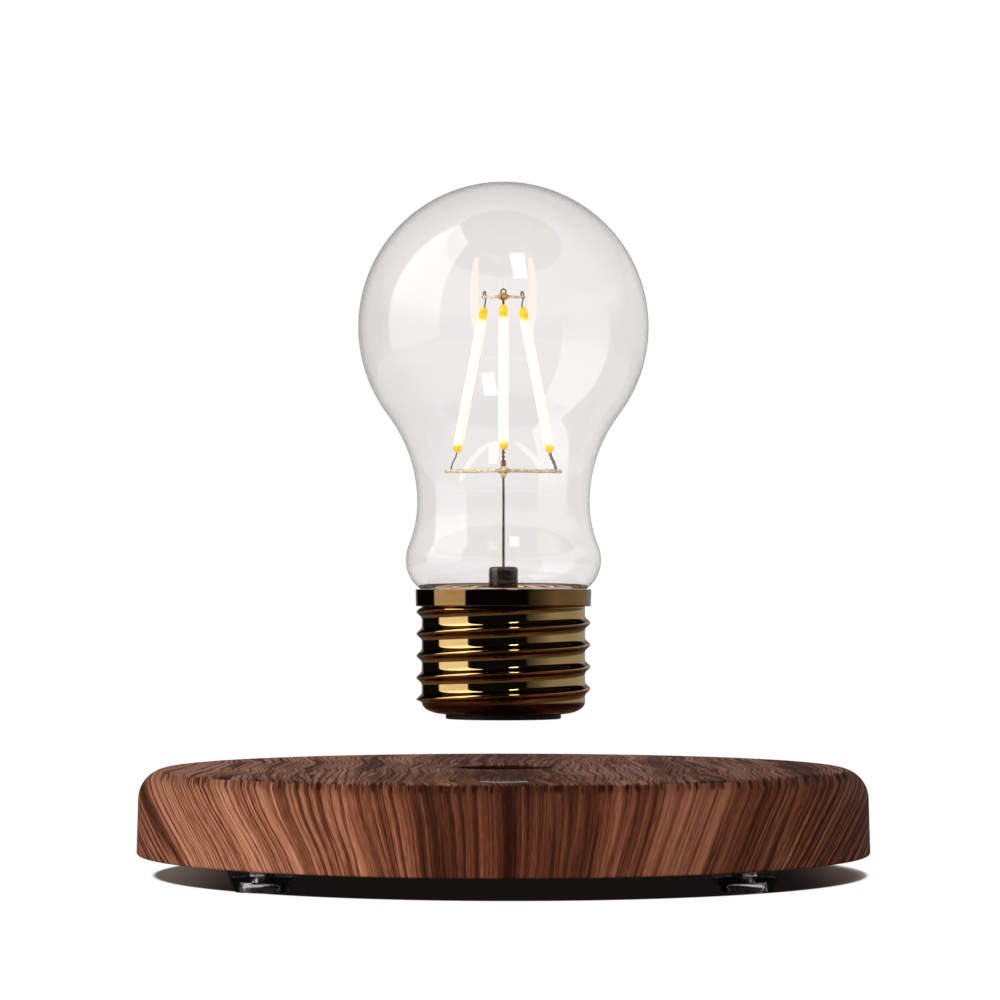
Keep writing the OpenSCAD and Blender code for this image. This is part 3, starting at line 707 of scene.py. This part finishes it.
def spiderFinish(spec):
    def surface(bench):
        x, y, z = placeMm(bench)
        spot = bench.vector(x, y, z)
        fleck = bench.noise(spot, spec["fleck"], 2.0, 0.6)
        fine = bench.noise(spot, 5.0 * spec["fleck"], 1.0)
        pale = bench.mix((fleck * 0.6 + fine * 0.4).rise(0.40, 0.58), solid((0.66, 0.46, 0.20)),
                         solid((1.0, 0.95, 0.80)))
        amber = bench.mix(fine.rise(0.35, 0.65), solid((0.34, 0.11, 0.012)), solid((0.80, 0.44, 0.06)))
        reach = (x * x + y * y) ** 0.5
        upper = z.rise(spec["upper"] - 1.0, spec["upper"] + 1.0)
        arms = reach.rise(*spec["core"]) * (1.0 - reach.rise(*spec["tips"]) * upper)
        return {"Base Color": bench.mix(arms, amber, pale), "Roughness": 0.28 + fine * 0.12,
                "Normal": fine.bump(0.35, 0.00005)}
    return newFinish("spider gold", {"Metallic": 0.15}, surface)


filamentSpec = {"lit": (88.9, 114.4), "blend": 0.6, "strength": 2.1}


def filamentFinish(spec):
    def surface(bench):
        x, y, z = placeMm(bench)
        low, high = spec["lit"]
        blend = spec["blend"]
        lit = z.rise(low - blend, low + blend) * (1.0 - z.rise(high - blend, high + blend))
        grain = bench.noise(bench.vector(x, y, z), 1.2, 2.0)
        body = bench.mix(grain, (1.0, 0.78, 0.42, 1.0), (1.0, 0.84, 0.52, 1.0))
        bead = bench.mix(grain.rise(0.35, 0.65), (0.74, 0.30, 0.008, 1.0), (0.92, 0.52, 0.02, 1.0))
        glow = bench.mix(lit, (0.21, 0.125, 0.002, 1.0), (1.0, 0.58, 0.27, 1.0))
        return {"Base Color": bench.mix(lit, bead, body), "Emission Color": glow,
                "Roughness": 0.30 + grain * 0.2}
    return newFinish("glowing filament", {"Emission Strength": spec["strength"]}, surface)


finishes = {name: plainFinish(name.replace("_", " "), spec) for name, spec in plainSpecs.items()}
finishes["wood_grain"] = woodFinish(woodSpec)
finishes["cap_brass"] = brassFinish(brassSpec)
finishes["bulb_glass"] = glassFinish("bulb glass", (0.985, 0.975, 0.962), 105.0, 1.5)
finishes["clear_plastic"] = glassFinish("clear plastic", (0.95, 0.95, 0.95), 30.0, 1.46)
finishes["filament_glow"] = filamentFinish(filamentSpec)
finishes["spider_gold"] = spiderFinish(spiderFinishSpec)
slotOf = {part["node"]: part["material_slot"] for part in frame["record"]["subparts"]}
for node, made in frame["nodes"].items():
    for place in made.material_slots:
        place.material = finishes[slotOf[node]]
print("finishes ready:", len(finishes))


# Base.
shellSpec = {
    "edge": 6.2, "draft": 0.3, "bevel": 0.5, "wall": 2.4, "cavity": 72.6,
    "dimple": 10.0, "dimpleDeep": 1.2, "dimpleRound": 0.6, "lip": 0.35, "innerRound": 3.8,
    "seatPlay": 0.15, "hole": 4.15, "segments": 256,
}


def makeBaseShell(spec):
    low, high = boxMm("base_shell")
    side = high.x - spec["draft"]
    top, foot = high.z, low.z
    flatEnd = side - spec["edge"]
    floor = top - spec["dimpleDeep"]
    inner = top - spec["wall"]
    corner, inside = spec["dimpleRound"], spec["innerRound"]
    profile = [(0, floor), (spec["dimple"] - 2 * corner, floor)]
    profile += arc((spec["dimple"] - corner, floor + corner), corner, -90, 0, 6)
    profile += arc((spec["dimple"] + spec["lip"], top - spec["lip"]), spec["lip"], 180, 90, 6)
    profile += [(spec["dimple"] + 0.8, top), (30, top), (50, top), (flatEnd - 0.4, top)]
    profile += arc((flatEnd, top - spec["edge"]), spec["edge"], 90, 0, 20)
    profile += [(side + 0.02, top - spec["edge"] - 0.4), (high.x - 0.01, foot + spec["bevel"] + 0.4)]
    profile += arc((high.x - spec["bevel"], foot + spec["bevel"]), spec["bevel"], 0, -90, 6)
    profile += [(spec["cavity"], foot), (spec["cavity"], inner - inside)]
    profile += arc((spec["cavity"] - inside, inner - inside), inside, 0, 90, 6)
    boss = spec["dimple"] + spec["wall"]
    under = inner - spec["dimpleDeep"]
    profile += [(boss, inner), (boss, under), (0, under)]
    shell = lathe("baseShell", profile, spec["segments"])
    padLow, padHigh = boxMm("touch_pad")
    padPlace = (padLow + padHigh) / 2
    padRadius = (padHigh.x - padLow.x) / 2 + spec["seatPlay"]
    seat = rodCutter("seat", padRadius, 4.0, (0, padPlace.y, padLow.z + 2.0), Matrix())
    inletLow, inletHigh = boxMm("dc_inlet")
    inletZ = (inletLow.z + inletHigh.z) / 2
    hole = rodCutter("hole", spec["hole"], 20.0, (0, high.y, inletZ), Matrix.Rotation(math.pi / 2, 4, "X"))
    shell = cut("baseShell", shell, [seat, hole])
    finished("baseShell", shell, "base", ["base_shell"], "wood_grain", 40)


padSpec = {"chamfer": 0.22, "dish": 0.05, "segments": 96}


def makeTouchPad(spec):
    low, high = boxMm("touch_pad")
    radius = (high.x - low.x) / 2
    rim = high.z - spec["dish"]
    profile = [(0, rim), (radius - 1.4, rim), (radius - 1.1, high.z), (radius - spec["chamfer"], high.z)]
    profile += [(radius, high.z - spec["chamfer"]), (radius, low.z + 0.1), (radius - 0.1, low.z), (0, low.z)]
    pad = lathe("touchPad", profile, spec["segments"])
    moved(pad, Matrix.Translation((0, (low.y + high.y) / 2 * mm, 0)))
    finished("touchPad", pad, "base", ["touch_pad"], "pad_metal", 30)


footSpec = {"bore": 1.7, "recess": 4.1, "recessDeep": 2.3, "taper": 1.4, "round": 0.45, "segments": 96}
screwSpec = {
    "head": 3.8, "headLow": 0.6, "headHigh": 2.3, "neck": 5.2, "tip": 14.5, "point": 1.2,
    "slotWide": 0.9, "slotLong": 4.2, "slotDeep": 0.9,
    "root": 1.12, "crest": 1.4, "pitch": 1.0, "start": 0.0, "power": 1.6, "runIn": 0.4, "runOut": 0.8,
    "columns": 48, "rowsPerTurn": 8,
}
feet = ["foot_front_left", "foot_front_right", "foot_back_left", "foot_back_right"]


def copiedOnFeet(name, mesh, slot):
    low, high = boxMm("foot_back_right")
    centre = (low + high) / 2
    values = {"count": 4, "radius": math.hypot(centre.x, centre.y) * mm, "start": math.pi / 4,
              "material": finishes[slot]}
    return grown(name, addObject(name + "Host", mesh), copyNodes, values)


def makeFeet(spec):
    low, high = boxMm("foot_back_right")
    wide = (high.x - low.x) / 2
    narrow = wide - spec["taper"]
    edge = spec["round"]
    profile = [(spec["recess"] + 0.2, 0)]
    profile += arc((narrow - edge, edge), edge, -90, -8, 6)
    profile += [(wide - 0.1, high.z - 0.35), (wide, high.z - 0.15), (wide - 0.15, high.z)]
    profile += [(spec["bore"], high.z), (spec["bore"], spec["recessDeep"])]
    profile += [(spec["recess"], spec["recessDeep"]), (spec["recess"], 0.2)]
    foot = lathe("clearFoot", profile, spec["segments"], True)
    mesh = copiedOnFeet("clearFeet", foot, "clear_plastic")
    made = finished("clearFeet", mesh, "base", feet, "clear_plastic", 30)
    made.visible_shadow = False  # lamps reach the screws inside


def slab(name, wide, deep, tall, z):
    shape = bmesh.new()
    bmesh.ops.create_cube(shape, size=mm)
    bmesh.ops.scale(shape, vec=(wide, deep, tall), verts=shape.verts)
    bmesh.ops.translate(shape, vec=(0, 0, z * mm), verts=shape.verts)
    return toMesh(shape, name)


def makeFootScrews(spec):
    low, under, neck = spec["headLow"], spec["headHigh"], spec["neck"]
    root, shankWide = spec["root"], spec["crest"]
    headProfile = [(0, low), (1.9, low + 0.02)]
    headProfile += [(2.8, low + 0.16), (3.35, low + 0.45), (3.68, low + 0.85), (spec["head"], low + 1.2)]
    headProfile += [(spec["head"], under - 0.1), (spec["head"] - 0.1, under), (shankWide, under)]
    headProfile += [(shankWide, neck - 0.3), (root, neck)]
    head = lathe("screwHead", headProfile, spec["columns"])
    reach = spec["tip"] - spec["point"] - neck
    shank = threaded("screwShank", "screw_steel", spec, neck, reach)
    tip = lathe("screwTip", [(root, neck + reach), (0.45, spec["tip"]), (0, spec["tip"])], spec["columns"])
    screw = joined("footScrew", [head, shank, tip])
    deep = low + spec["slotDeep"] / 2 - 0.2
    tall = spec["slotDeep"] + 0.4
    slots = [slab("slotA", spec["slotLong"], spec["slotWide"], tall, deep),
             slab("slotB", spec["slotWide"], spec["slotLong"], tall, deep)]
    screw = cut("footScrew", screw, slots)
    mesh = copiedOnFeet("footScrews", screw, "screw_steel")
    finished("footScrews", mesh, "base", ["foot_screws"], "screw_steel", 32)


makeBaseShell(shellSpec)
makeTouchPad(padSpec)
makeFeet(footSpec)
makeFootScrews(screwSpec)
print("base ready")


# Screw cap with its rolled thread, and the disc that closes it.
capSpec = {
    "shoulder": 12.1, "dome": 2.4, "root": 16.85, "crest": 17.95, "pitch": 4.52, "threadHigh": 19.8,
    "start": 136.0, "power": 3.0, "runIn": 0.452, "runOut": 0.5424, "band": 18.15, "bandTaper": 0.08,
    "lip": 0.2, "bore": 17.25, "inside": 15.8, "mouth": 11.05, "seat": 2.45,
    "columns": 240, "rowsPerTurn": 36,
}
discSpec = {"edge": 0.25, "neck": 10.95, "segments": 128}


def makeScrewCap(spec):
    low, high = boxMm("screw_cap")
    threadLow = low.z + spec["dome"]
    bandLow = threadLow + spec["threadHigh"]
    root, band, lip = spec["root"], spec["band"], spec["lip"]

    def dome(start, end, tall, turns):
        spots = [math.radians(turn) for turn in turns]
        return [(start + (end - start) * math.sin(t), low.z + tall * (1 - math.cos(t))) for t in spots]

    under = dome(spec["mouth"], spec["inside"], spec["dome"] - 0.2, range(90, -1, -10))
    under += [(spec["mouth"] + 0.15, low.z)]
    under += dome(spec["shoulder"], root, spec["dome"], range(0, 91, 5))
    over = [(root, bandLow), (root + 0.4, bandLow), (band - lip - 0.1, bandLow)]
    waist = band - spec["bandTaper"]
    over += arc((waist - lip, bandLow + lip), lip, -90, 0, 6) + [(waist, bandLow + lip + 0.12)]
    over += [(band, high.z - lip - 0.12)] + arc((band - lip, high.z - lip), lip, 0, 90, 6)
    over += [(band - lip - 0.1, high.z), (spec["bore"], high.z), (spec["bore"], high.z - spec["seat"])]
    over += [(spec["inside"], high.z - spec["seat"]), under[0]]
    thread = threaded("capThread", "cap_brass", spec, threadLow, spec["threadHigh"])
    parts = [lathe("capUnder", under, spec["columns"]), thread, lathe("capOver", over, spec["columns"])]
    cap = joined("screwCap", parts)
    finished("screwCap", cap, "bulb", ["screw_cap"], "cap_brass", 28)


def makeCapDisc(spec):
    low, high = boxMm("cap_base")
    wide = (high.x - low.x) / 2
    edge = spec["edge"]
    profile = [(0, low.z + 0.15), (wide * 0.62, low.z + 0.15), (wide * 0.65, low.z)]
    profile += arc((wide - edge, low.z + edge), edge, -90, 0, 5)
    profile += [(wide, low.z + 0.85), (wide - 0.12, low.z + 0.97), (spec["neck"], low.z + 1.0)]
    profile += [(spec["neck"], high.z), (0, high.z)]
    disc = lathe("capDisc", profile, spec["segments"])
    finished("capDisc", disc, "bulb", ["cap_base"], "black_plastic", 30)


makeScrewCap(capSpec)
makeCapDisc(discSpec)
print("cap ready")


# Glass envelope: globe, neck, bulge and heel as arcs that run into each other, both walls.
glassSpec = {
    "globe": 30.0, "neck": 17.8, "bulge": 20.15, "bulgeArc": 8.3, "heelArc": 7.35, "skirt": 17.15,
    "wall": 0.6, "neckZ": 76.6, "bulgeZ": 64.7, "globeZ": 112.9, "seatZ": 56.25, "segments": 224,
}


def bulbOutline(spec, inset):
    neck, bulgeX = spec["neck"], spec["bulge"] - spec["bulgeArc"]
    heelX = spec["bulge"] - spec["heelArc"]

    def between(near, far, rise):  # radius of the arc that joins two radii that far apart
        return (near ** 2 + rise ** 2 - far ** 2) / (2 * (far - near))

    over = between(neck, spec["globe"], spec["globeZ"] - spec["neckZ"])
    under = between(neck - bulgeX, spec["bulgeArc"], spec["neckZ"] - spec["bulgeZ"])
    globeEnd = math.degrees(math.atan2(spec["neckZ"] - spec["globeZ"], neck + over))
    bulgeStart = math.degrees(math.atan2(spec["neckZ"] - spec["bulgeZ"], neck + under - bulgeX))
    heelEnd = -math.degrees(math.acos((spec["skirt"] - inset - heelX) / (spec["heelArc"] - inset)))
    outline = [(0, spec["globeZ"] + spec["globe"] - inset)]
    outline += arc((0, spec["globeZ"]), spec["globe"] - inset, 90, globeEnd, 72)[1:]
    outline += arc((neck + over, spec["neckZ"]), over + inset, 180 + globeEnd, 180, 24)[1:]
    outline += arc((neck + under, spec["neckZ"]), under + inset, 180, 180 + bulgeStart, 14)[1:]
    outline += arc((bulgeX, spec["bulgeZ"]), spec["bulgeArc"] - inset, bulgeStart, 0, 12)[1:]
    outline += arc((heelX, spec["bulgeZ"]), spec["heelArc"] - inset, 0, heelEnd, 14)[1:]
    return outline + [(spec["skirt"] - inset, spec["seatZ"])]


def makeGlass(spec):
    profile = bulbOutline(spec, 0.0) + bulbOutline(spec, spec["wall"])[::-1]
    glass = lathe("glassEnvelope", profile, spec["segments"])
    made = finished("glassEnvelope", glass, "bulb", ["glass_envelope"], "bulb_glass", 50)
    made.visible_shadow = False  # lamps reach the wires inside


makeGlass(glassSpec)
print("glass ready")


# Inside the glass: plate, ferrule, leads, spiders, filaments.
plateSpec = {"rim": 1.2, "sheet": 1.0, "bead": 0.35, "rings": (6.2, 10.4, 14.0), "segments": 160}
ferruleSpec = {"edge": 0.7, "groove": 0.12, "segments": 96}
leadSpec = {"thick": 0.25}


def makeStemPlate(spec):
    low, high = boxMm("stem_plate")
    wide = (high.x - low.x) / 2
    bead = spec["bead"]
    profile = [(0, high.z - bead)]
    for ring in spec["rings"]:
        profile += [(ring - bead - 0.5, high.z - bead)] + arc((ring, high.z - bead), bead, 180, 0, 10)
    profile += [(wide - 1.2, high.z - bead), (wide - 0.2, high.z - bead - 0.2), (wide, high.z - bead - 0.5)]
    inner = wide - spec["rim"]
    under = high.z - spec["sheet"] - bead
    profile += [(wide, low.z), (inner, low.z), (inner, under), (0, under)]
    plate = lathe("stemPlate", profile, spec["segments"])
    finished("stemPlate", plate, "bulb", ["stem_plate"], "plate_bronze", 30)


def makeFerrule(spec):
    low, high = boxMm("ferrule")
    wide = (high.x - low.x) / 2
    edge = spec["edge"]
    waist = low.z + (high.z - low.z) * 0.42
    profile = [(0, low.z - 0.3), (wide, low.z - 0.3), (wide, waist - 0.15), (wide - spec["groove"], waist)]
    profile += [(wide, waist + 0.15)]
    profile += arc((wide - edge, high.z - edge), edge, 0, 90, 8)
    profile += [(wide * 0.52, high.z), (wide * 0.42, high.z - 0.25), (0, high.z - 0.25)]
    ferrule = lathe("ferrule", profile, spec["segments"])
    finished("ferrule", ferrule, "bulb", ["ferrule"], "ferrule_dark", 30)


def makeLead(name, node, spec):
    low, high = boxMm(node)
    x, y = (low.x + high.x) / 2, (low.y + high.y) / 2
    tall = high.z - low.z
    bends = [(0.0, 0.0), (0.05, 0.3), (-0.04, 0.55), (0.03, 0.8), (0.0, 1.0)]
    path = smoothPath([(x + bend, y, low.z + tall * share) for bend, share in bends], 12)
    lead = wire(name, path, singleWire, spec["thick"], finishes["wire_bronze"])
    finished(name, lead, "bulb", [node], "wire_bronze", 60)


turns = [math.radians(turn) for turn in (-90, 30, 150)]  # front, right, left
spiderSpec = {
    "low": {"reach": 14.4, "hub": 1.35, "knot": 0.8, "arm": 0.42, "eye": 0.85, "eyeWire": 0.24, "eyeAt": 12.9,
            "drop": (0.62, 1.2, -0.9)},  # solder round the front lead under the hub: radius, height, place
    "high": {"reach": 5.25, "hub": 1.25, "knot": 0.8, "arm": 0.30, "eye": 0.62, "eyeWire": 0.20,
             "eyeAt": 4.5},
}


def polar(radius, turn, z):
    return Vector((radius * math.cos(turn), radius * math.sin(turn), z))


def makeSpider(name, node, spec):
    low, high = boxMm(node)
    middle = (low.z + high.z) / 2
    hub, knot = spec["hub"], spec["knot"]
    half = [(0.0, 1.0), (0.40, 0.94), (0.72, 0.66), (0.94, 0.30), (1.0, 0.10)]  # shares of hub and knot
    drop = [(hub * wide, middle - knot * tall) for wide, tall in half]
    drop += [(hub * wide, middle + knot * tall) for wide, tall in reversed(half)]
    parts = [lathe("hub", drop, 48)]
    if "drop" in spec:
        wide, tall, y = spec["drop"]
        under = middle - knot * 0.5
        shares = [(0, 1.0), (0.5, 0.97), (1.0, 0.7), (1.0, 0.35), (0.5, 0.0), (0, 0.0)]
        solder = lathe("drop", [(wide * out, under - tall * down) for out, down in shares], 24)
        parts.append(moved(solder, Matrix.Translation((0, y * mm, 0))))
    for turn in turns:
        wavy = [(0.0, 0.0, 0.0), (0.35, 0.06, 0.03), (0.55, -0.05, -0.02), (0.8, 0.05, 0.03), (1.0, 0.0, 0.0)]
        side = polar(1.0, turn + math.pi / 2, 0.0)
        start = hub * 0.5
        path = []
        for share, sway, lift in wavy:
            spot = polar(start + (spec["reach"] - spec["arm"] - start) * share, turn, middle + lift)
            path.append(spot + side * sway)
        parts.append(wire("arm", smoothPath(path), singleWire, spec["arm"], finishes["spider_gold"]))
        eye = [polar(spec["eyeAt"], turn, middle) + polar(spec["eye"] - 0.1, math.radians(step * 15), 0.1)
               for step in range(25)]
        parts.append(wire("eye", eye, singleWire, spec["eyeWire"], finishes["spider_gold"]))
    spider = joined(name, parts)
    finished(name, spider, "bulb", [node], "spider_gold", 50)


beadSpec = {"narrow": 0.65, "deep": 1.5, "segments": 48}  # round both leads, one behind the other


def makeHubBead(spec):
    low, high = boxMm("hub_bead")
    tall = high.z - low.z
    shares = [(0, 0), (0.45, 0.0), (0.62, 0.12), (0.85, 0.3), (1.0, 0.55), (0.95, 0.8), (0.7, 1.0), (0, 1.0)]
    bead = lathe("hubBead", [(wide, low.z + tall * share) for wide, share in shares], spec["segments"])
    moved(bead, Matrix.Diagonal((spec["narrow"], spec["deep"], 1.0, 1.0)))
    finished("hubBead", bead, "bulb", ["hub_bead"], "bead_amber", 60)


barSpec = {
    "low": (11.3, 87.2), "high": (4.55, 117.2),  # radius and height of both ends
    "body": 0.95, "bead": 0.90, "beadLong": (1.9, 3.0), "tip": 0.36, "waist": 0.66, "segments": 40,
    "shoulder": [(0.86, 0.12), (0.97, 0.35), (1.0, 0.65)],  # share of the body, rise above the waist
}
barNames = [("filamentFront", "filament_front"), ("filamentRight", "filament_right"),
            ("filamentLeft", "filament_left")]


def barEnds(spec, turn):
    return polar(spec["low"][0], turn, spec["low"][1]), polar(spec["high"][0], turn, spec["high"][1])


def makeFilament(name, node, turn, spec):
    low, high = barEnds(spec, turn)
    length = (high - low).length
    bead = spec["bead"]
    tipTurn = math.degrees(math.asin(spec["tip"] / bead / 1.4))
    stopTurn = 180 - math.degrees(math.asin(spec["waist"] / bead))

    def endPoints(beadLong):  # from the tip over the bead and its waist to the body
        half = beadLong / 2
        spots = [math.radians(tipTurn + (stopTurn - tipTurn) * i / 10) for i in range(11)]
        lift = half * math.cos(spots[0])
        points = [(0, 0)] + [(bead * math.sin(t), lift - half * math.cos(t)) for t in spots]
        waist = points[-1][1]
        return points + [(spec["body"] * wide, waist + rise) for wide, rise in spec["shoulder"]]

    lowLong, highLong = spec["beadLong"]
    profile = endPoints(lowLong)
    profile += [(radius, length - height) for radius, height in reversed(endPoints(highLong))]
    bar = lathe(name, profile, spec["segments"])
    turned = (high - low).to_track_quat("Z", "Y").to_matrix().to_4x4()
    moved(bar, Matrix.Translation(low * mm) @ turned)
    finished(name, bar, "bulb", [node], "filament_glow", 60)


tabSpec = {"wire": 0.15, "strand": 0.15, "offset": 0.21, "pitch": 2.0, "loop": 0.9}


def makeTabs(spec):
    lowTop = boxMm("low_spider")[1]
    highTop = boxMm("high_spider")[1]
    finish = finishes["wire_bronze"]
    up = Vector((0, 0, 1))
    parts = []
    for index, turn in enumerate(turns):
        low, high = barEnds(barSpec, turn)
        along = (high - low).normalized()
        eye = polar(spiderSpec["low"]["eyeAt"], turn, lowTop.z)
        bend = eye + (low - eye) * 0.35
        path = smoothPath([low + along * 0.4, low - along * 0.8, bend, eye - up * 0.5])
        if index == 2:  # the left one is a plain wire
            parts.append(wire("tab", path, singleWire, spec["wire"], finish))
        else:
            twist = (spec["offset"], spec["pitch"])
            parts.append(wire("tab", path, twistedWire, spec["strand"], finish, *twist))
        top = polar(spiderSpec["high"]["eyeAt"], turn, highTop.z)
        side = polar(0.45, turn + math.pi / 2, 0.0)
        rising = [high - along * 0.4, high + along * 0.5, top - up * 0.5 - side, top + up * 0.5 - side]
        falling = [top + up * spec["loop"], top + up * 0.6 + side, top + side]
        path = smoothPath(rising + falling)
        parts.append(wire("tab", path, singleWire, spec["wire"], finish))
    tabs = joined("filamentTabs", parts)
    finished("filamentTabs", tabs, "bulb", ["filament_tabs"], "wire_bronze", 60)


makeStemPlate(plateSpec)
makeFerrule(ferruleSpec)
makeLead("lowLead", "low_lead", leadSpec)
makeLead("highLead", "high_lead", leadSpec)
makeSpider("lowSpider", "low_spider", spiderSpec["low"])
makeSpider("highSpider", "high_spider", spiderSpec["high"])
makeHubBead(beadSpec)
for (name, node), turn in zip(barNames, turns):
    makeFilament(name, node, turn, barSpec)
makeTabs(tabSpec)
print("filaments ready")
